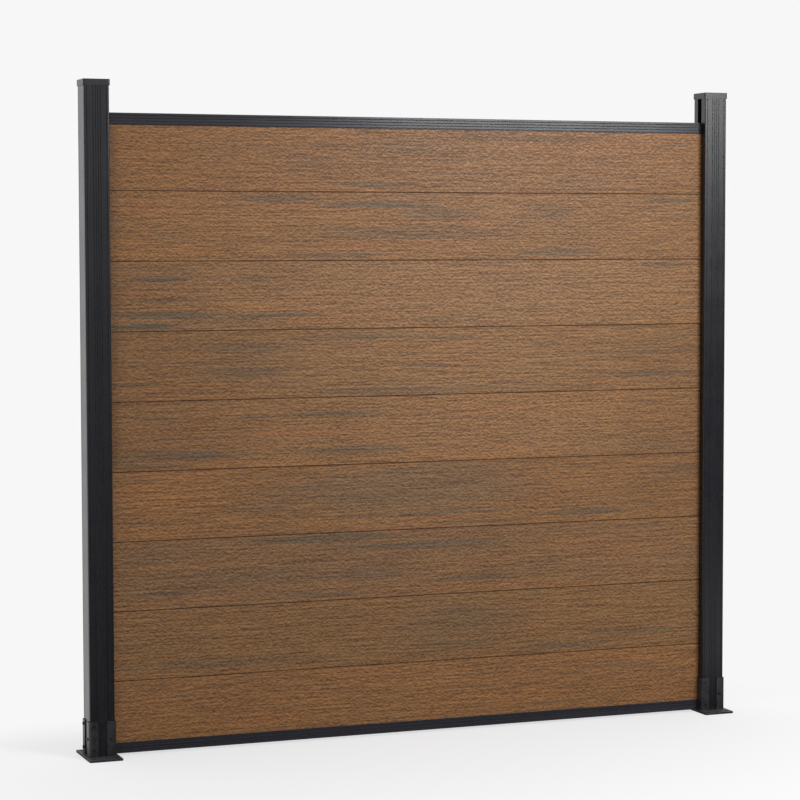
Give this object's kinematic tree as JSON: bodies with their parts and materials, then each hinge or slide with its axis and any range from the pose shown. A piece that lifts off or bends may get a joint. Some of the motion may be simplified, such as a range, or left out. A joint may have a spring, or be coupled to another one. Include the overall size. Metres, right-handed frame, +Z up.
{
  "type": "privacy fence panel",
  "caption": "Free-standing privacy fence bay: stacked tongue and groove composite boards between slotted aluminium posts, with trim rails, flat caps and bolt-down feet.",
  "frame": {"origin": "on the ground under the middle of the panel: centre of the bottom of the bounding box", "axes": "+X along the fence to the right seen from the front, +Y from the front to the back, +Z up"},
  "size_m": [2.05, 0.17, 1.925],
  "materials": {
    "composite": "wood-plastic composite with an embossed matt grain",
    "rail_coat": "semi-gloss black powder coat on aluminium",
    "post_coat": "semi-gloss black powder coat on aluminium",
    "cap_coat": "semi-gloss black powder coat on aluminium",
    "steel_coat": "satin black powder coat on steel",
    "screw": "black coated steel"
  },
  "bodies": {
    "root": {"board_1": "composite", "board_2": "composite", "board_3": "composite", "board_4": "composite", "board_5": "composite", "board_6": "composite", "board_7": "composite", "board_8": "composite", "board_9": "composite", "bottom_rail": "rail_coat", "top_rail": "rail_coat", "left_post": "post_coat", "right_post": "post_coat", "left_cap": "cap_coat", "right_cap": "cap_coat", "left_base_plate": "steel_coat", "right_base_plate": "steel_coat", "left_front_outer_angle": "steel_coat", "left_front_inner_angle": "steel_coat", "left_rear_inner_angle": "steel_coat", "left_rear_outer_angle": "steel_coat", "right_front_inner_angle": "steel_coat", "right_front_outer_angle": "steel_coat", "right_rear_outer_angle": "steel_coat", "right_rear_inner_angle": "steel_coat", "left_foot_screws": "screw", "right_foot_screws": "screw"}
  },
  "joints": []
}
